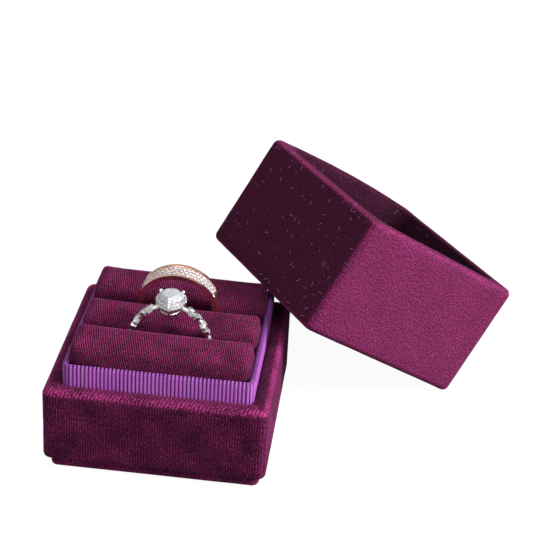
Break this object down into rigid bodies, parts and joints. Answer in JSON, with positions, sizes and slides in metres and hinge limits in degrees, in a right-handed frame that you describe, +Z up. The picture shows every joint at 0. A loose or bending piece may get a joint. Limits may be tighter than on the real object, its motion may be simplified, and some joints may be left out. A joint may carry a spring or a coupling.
{
  "type": "double ring box",
  "caption": "Square velvet ring box in loose halves: base with ribbed ribbon collar and padded ring rolls holding a stone-set band and a solitaire ring, and a deep lift-off lid.",
  "frame": {"origin": "middle of the base's underside, on the surface that the box stands on", "axes": "+X to the base's right, +Y to its back, +Z up; the ring slots run along X"},
  "size_m": [0.1125, 0.108, 0.0564],
  "materials": {
    "plum_velvet": "short pile with a bright sheen",
    "ribbed_ribbon": "fine upright ribs, soft sheen",
    "board": "matt grey board",
    "card": "matt card",
    "foam": "open foam",
    "rose_gold": "polished, rose-coloured",
    "white_metal": "polished",
    "clear_stone": "clear, cut with facets"
  },
  "bodies": {
    "base": {"bottom_board": "board", "bottom_velvet": "plum_velvet", "infill_card": "card", "base_floor_board": "board", "base_wall_front": "board", "base_wall_back": "board", "base_wall_left": "board", "base_wall_right": "board", "base_velvet_wrap": "plum_velvet", "collar_card": "card", "collar_ribbon": "ribbed_ribbon", "pad_card": "card", "foam_core_front": "foam", "foam_core_middle": "foam", "foam_core_back": "foam", "roll_velvet_front": "plum_velvet", "roll_velvet_middle": "plum_velvet", "roll_velvet_back": "plum_velvet"},
    "lid": {"lid_top_board": "board", "lid_wall_front": "board", "lid_wall_back": "board", "lid_wall_left": "board", "lid_wall_right": "board", "lid_velvet_wrap": "plum_velvet", "lid_foam_pad": "foam", "lid_lining_top": "plum_velvet", "lid_lining_walls": "plum_velvet"},
    "band_ring": {"band_ring_shank": "rose_gold", "band_ring_stones": "clear_stone"},
    "solitaire_ring": {"solitaire_shank": "white_metal", "solitaire_basket": "white_metal", "solitaire_stone": "clear_stone", "solitaire_halo_stones": "clear_stone", "solitaire_shank_stones": "clear_stone"}
  },
  "joints": [
    {"name": "lid_lift", "type": "slide", "parent": "base", "child": "lid", "axis": [0, 0, 1], "range_m": [0, 0.06]},
    {"name": "band_ring_lift", "type": "slide", "parent": "base", "child": "band_ring", "axis": [-0.0021, -0.1478, 0.989], "range_m": [0, 0.015]},
    {"name": "solitaire_ring_lift", "type": "slide", "parent": "base", "child": "solitaire_ring", "axis": [-0.0025, 0.0802, 0.9968], "range_m": [0, 0.015]}
  ]
}
